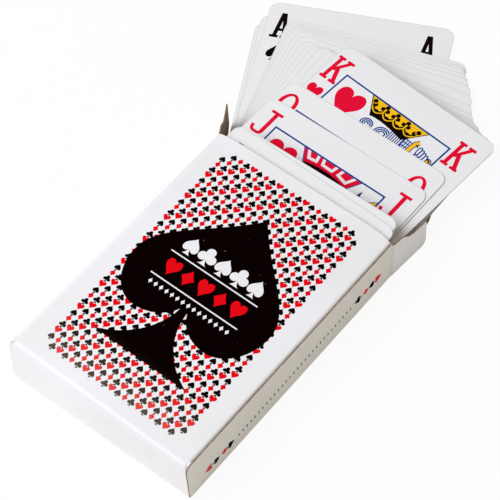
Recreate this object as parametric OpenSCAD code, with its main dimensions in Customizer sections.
// Deck of playing cards sliding out of an open tuck box that lies on its back.
// The origin is the middle of the back panel's outer face. +Y points out of the
// open mouth, +X to the glued side, +Z up.

/* [Cards] */
// Width of a card
card_w = 63; // [50:0.5:80]
// Length of a card
card_l = 88; // [70:0.5:110]
// Thickness of a card
card_t = 0.28; // [0.2:0.01:0.4]
// Corner radius of a card
card_r = 3.5; // [1:0.1:5]
// Air between neighbouring cards
card_gap = 0.02; // [0.01:0.01:0.05]

/* [Carton] */
// Thickness of the carton board
board = 0.4; // [0.3:0.02:0.6]
// Room beside the cards, both sides together
side_play = 4.8; // [3.8:0.1:8]
// Room past the end of the cards
end_play = 8; // [6:0.5:14]
// Room above the stack of cards
top_play = 0.95; // [0.5:0.05:3]
// Air under the lowest card
floor_gap = 0.05; // [0.02:0.01:0.2]
// Inner radius of the folded edges
fold_r = 0.2; // [0.1:0.05:0.4]
// Slit left beside the glued seam
seam_gap = 0.05; // [0.02:0.01:0.1]
// Width of the glue flap
glue_flap_w = 11; // [5:0.5:11.5]
// How far the glue flap stops short of each end
glue_flap_inset = 2; // [1:0.5:10]
// Length of the inner flaps of the bottom end
end_flap_l = 22; // [10:1:24]

/* [Lid and flaps] */
// Air at each crease that folds
crease_gap = 0.05; // [0.02:0.01:0.2]
// How much narrower the lid is than the carton, on each side
lid_inset = 0.6; // [0.5:0.1:2]
// How much narrower the tongue is than the carton, on each side
tongue_inset = 2.6; // [1:0.1:5]
// Length of the tuck tongue
tongue_l = 16; // [12:0.5:22]
// Radius of the tongue's corners
tongue_r = 14; // [4:0.5:15]
// Least straight length of the tongue's sides
tongue_straight = 1; // [0.5:0.5:3]
// Length of a dust flap
flap_l = 16; // [12:0.5:24]
// Height of a dust flap's lower edge above the table
flap_low = 0.2; // [0.1:0.1:2]
// Height of a dust flap's free end above its lower edge
flap_end_h = 12.1; // [8:0.1:13]
// Drop from the front panel to a dust flap's shoulder
flap_shoulder_drop = 2; // [0.5:0.1:3]
// Length of a dust flap's shoulder
flap_shoulder_l = 5; // [3:0.5:6]
// Length of the slope below a dust flap's shoulder
flap_slope_l = 4.5; // [3:0.5:5]
// Radius of a dust flap's lower corner
flap_r = 3; // [1:0.5:5]
// Angle by which the left flap stands clear of the most turned card
flap_spare_angle = 1.5; // [1:0.5:20]
// Angle by which the right flap leans outwards
right_flap_lean = 3; // [1:0.5:20]

/* [Layout] */
// How far below the mouth the cards inside the box stop
inside_depth = 5; // [3:0.5:5.5]

/* [Hidden] */
$fn = 48;
RANKS = ["ace", "two", "three", "four", "five", "six", "seven",
    "eight", "nine", "ten", "jack", "queen", "king"];
SUITS = ["spades", "hearts", "diamonds", "clubs"];
SPADES = 0;
HEARTS = 1;
DIAMONDS = 2;
CLUBS = 3;
ACE = 0;
JACK = 10;
QUEEN = 11;
KING = 12;

function card_name(rank, suit) = str(RANKS[rank], "_of_", SUITS[suit]);

// Names of the cards of one suit, from one rank to another, upwards or downwards
function run(suit, first, last) =
    [for (rank = [first : (first <= last ? 1 : -1) : last]) card_name(rank, suit)];

// The stack from the table up
DECK = concat(
    run(SPADES, ACE + 1, ACE + 2),
    run(SPADES, ACE, ACE),
    run(SPADES, ACE + 3, KING),
    run(CLUBS, ACE, KING),
    run(DIAMONDS, QUEEN, KING),
    ["joker", "joker"],
    run(HEARTS, KING, ACE + 1),
    run(DIAMONDS, ACE + 1, JACK),
    run(HEARTS, ACE, ACE),
    run(DIAMONDS, ACE, ACE));

// The fanned cards at the foot of the stack, from the table up: the turn to the
// left, the air at the mouth's left corner, and the air between the card's lower
// right corner and the right side
FAN = [
    [28.5, 0.2, 0.4], [28, 1, 1.2], [25.5, 0.3, 4], [18.8, 0.2, 1.1],
    [18.7, 0.2, 0.65], [18.2, 0.2, 0.45], [17, 0.2, 0.3], [16, 0.2, 0.2],
    [14.2, 0.2, 0.25], [12.3, 0.2, 0.3], [10.3, 0.2, 0.45], [8.1, 0.2, 1.05],
    [5.9, 0.2, 1.9], [4.2, 0.9, 1.95], [2.4, 2, 1.65], [0.9, 3.5, 0.87]];

// The king leans the other way: the same three values, with the sides swapped
KING_LEAN = [3.9, 2.15, 0.73];

// Cards pulled out almost straight: name, turn to the left, length out of the mouth, and
// the air between the card's lower corner and the side that it leans to
PULLED = [
    [card_name(QUEEN, HEARTS), -0.5, 35.3, 0.4],
    [card_name(JACK, HEARTS), 0, 26.2, 0.2],
    [card_name(ACE, HEARTS), 0.6, 8.4, 1.7],
    [card_name(ACE, DIAMONDS), -1.8, 6.5, 0.35]];

CARD_NODES = [for (name = DECK) if (name != "joker") name];
CARTON_NODES = ["carton_sleeve", "glue_flap", "bottom_end", "lid_panel",
    "tuck_tongue", "left_dust_flap", "right_dust_flap"];

pitch = card_t + card_gap;
inner_w = card_w + side_play;
inner_l = card_l + end_play;
inner_t = len(DECK) * pitch + floor_gap + top_play;
box_w = inner_w + 2 * board;
box_l = inner_l + board;
box_t = inner_t + 2 * board;
mouth_y = box_l / 2;
end_y = -box_l / 2;
crease_y = mouth_y + crease_gap + board / 2;
lid_d = box_t - board;
tongue_y = crease_y + lid_d + crease_gap + board / 2;
flap_splay = max([for (row = FAN) row[0]]) + flap_spare_angle;
coated_white = "whitesmoke";
card_white = "ivory";
inner_grey = "tan";

// Height of a card's lower face, counted from the table up
function level_z(level) = board + floor_gap + level * pitch;

// What a rounded corner saves sideways when its card is turned
function corner_relief(angle) = card_r * (cos(angle) + sin(angle) - 1);

// Length of a fanned card's left edge that is still inside the mouth
function tuck(row) = (inner_w + corner_relief(row[0]) - row[2]
    - (row[1] + card_w) * cos(row[0])) / sin(row[0]);

// Middle and turn of a fanned card: its left edge passes the mouth's left corner
function fan_pose(row) = let (
    a = row[0],
    across = row[1] + card_w / 2,
    along = card_l / 2 - tuck(row))
    [-inner_w / 2 + across * cos(a) - along * sin(a),
        mouth_y + across * sin(a) + along * cos(a), a];

// The same card seen in a mirror
function mirrored(pose) = [-pose[0], pose[1], -pose[2]];

// Middle and turn of a card pulled out of the mouth. One that is turned to the left has its
// lower corner beside the glue flap, and any other beside the left side.
function pulled_pose(row) = let (
    a = row[1],
    side = a > 0 ? 1 : -1,
    wall = side > 0 ? inner_w / 2 - seam_gap - board : inner_w / 2,
    half = card_w / 2 * cos(a) - corner_relief(abs(a)),
    low_x = side * (wall - row[3] - half))
    [low_x - card_l / 2 * sin(a), mouth_y + row[2] - card_l / 2 * cos(a), a];

// Middle and turn of the card at one level of the stack
function pose(level) = let (
    name = DECK[level],
    pulled = [for (row = PULLED) if (row[0] == name) row])
    level < len(FAN) ? fan_pose(FAN[level])
    : name == card_name(KING, HEARTS) ? mirrored(fan_pose(KING_LEAN))
    : len(pulled) > 0 ? pulled_pose(pulled[0])
    : [0, mouth_y - inside_depth - card_l / 2, 0];

// Flat outline with round corners, about the origin
module rounded(w, l, r) {
    square([w - 2 * r, l], center = true);
    square([w, l - 2 * r], center = true);
    for (x = [-1, 1], y = [-1, 1])
        translate([x * (w / 2 - r), y * (l / 2 - r)])
            circle(r);
}

// One card at its level and pose
module playing_card(level) {
    place = pose(level);
    color(card_white)
        translate([place[0], place[1], level_z(level)])
            rotate(place[2])
                linear_extrude(card_t)
                    rounded(card_w, card_l, card_r);
}

// Upright outline of the carton, carried along Y from one place to another
module along_box(from, to) {
    translate([0, to, box_t / 2])
        rotate([90, 0, 0])
            linear_extrude(to - from)
                children();
}

// Back, left side, front and glued right side, folded into a tube with a slit
module carton_sleeve() {
    color(coated_white)
        along_box(end_y + board, mouth_y)
            difference() {
                rounded(box_w, box_t, fold_r + board);
                rounded(inner_w, inner_t, fold_r);
                translate([inner_w / 2 - seam_gap, inner_t / 2 - fold_r])
                    square([seam_gap, board + 2 * fold_r]);
            }
}

// Strip of the front panel, folded down inside the right side
module glue_flap() {
    color(inner_grey)
        translate([inner_w / 2 - seam_gap - board, end_y + board + glue_flap_inset,
                box_t - board - fold_r - glue_flap_w])
            cube([board, inner_l - 2 * glue_flap_inset, glue_flap_w]);
}

// Closing panel of the lower end, and the two flaps folded in behind it
module bottom_end() {
    color(coated_white)
        along_box(end_y, end_y + board)
            rounded(box_w, box_t, fold_r + board);
    color(inner_grey)
        for (side = [0, 1])
            mirror([side, 0, 0])
                translate([inner_w / 2 - seam_gap - end_flap_l, end_y + board + seam_gap,
                        board + 2 * seam_gap])
                    cube([end_flap_l, board, inner_t - 4 * seam_gap]);
}

// Flat piece that folds on a round crease along X, lying from y towards +Y
module folding_sheet(y, w) {
    translate([0, y, 0]) {
        translate([0, 0, board / 2])
            rotate([0, 90, 0])
                cylinder(h = w, d = board, center = true);
        linear_extrude(board)
            children();
    }
}

// Lid, open flat on the table in line with the back panel
module lid_panel() {
    w = box_w - 2 * lid_inset;
    color(inner_grey)
        folding_sheet(crease_y, w)
            translate([-w / 2, 0])
                square([w, lid_d]);
}

// Rounded tongue at the lid's free edge
module tuck_tongue() {
    w = box_w - 2 * tongue_inset;
    r = min(tongue_r, tongue_l - tongue_straight);
    color(inner_grey)
        folding_sheet(tongue_y, w)
            difference() {
                union() {
                    translate([-w / 2, 0])
                        square([w, tongue_l - r]);
                    translate([-w / 2 + r, 0])
                        square([w - 2 * r, tongue_l]);
                    for (x = [-1, 1])
                        translate([x * (w / 2 - r), tongue_l - r])
                            circle(r);
                }
                translate([-w / 2, -r])
                    square([w, r]);
            }
}

// Dust flap standing on its crease at the origin, free end towards +Y
module dust_flap() {
    shoulder_h = box_t - flap_shoulder_drop - flap_low;
    slope_end = flap_shoulder_l + flap_slope_l;
    translate([0, 0, flap_low]) {
        cylinder(h = shoulder_h, d = board);
        translate([-board / 2, 0, 0])
            rotate([90, 0, 90])
                linear_extrude(board) {
                    polygon([[0, 0], [flap_l - flap_r, 0], [flap_l - flap_r, flap_r],
                        [flap_l, flap_r], [flap_l, flap_end_h], [slope_end, flap_end_h],
                        [flap_shoulder_l, shoulder_h], [0, shoulder_h]]);
                    translate([flap_l - flap_r, flap_r])
                        circle(flap_r);
                }
    }
}

// Left dust flap, pushed outwards by the most turned card
module left_dust_flap() {
    color(inner_grey)
        translate([board / 2 - box_w / 2, crease_y, 0])
            rotate(flap_splay)
                dust_flap();
}

// Right dust flap, leaning a little outwards
module right_dust_flap() {
    color(coated_white)
        translate([box_w / 2 - board / 2, crease_y, 0])
            rotate(-right_flap_lean)
                dust_flap();
}

carton_sleeve();
glue_flap();
bottom_end();
lid_panel();
tuck_tongue();
left_dust_flap();
right_dust_flap();
for (level = [0 : len(DECK) - 1])
    playing_card(level);
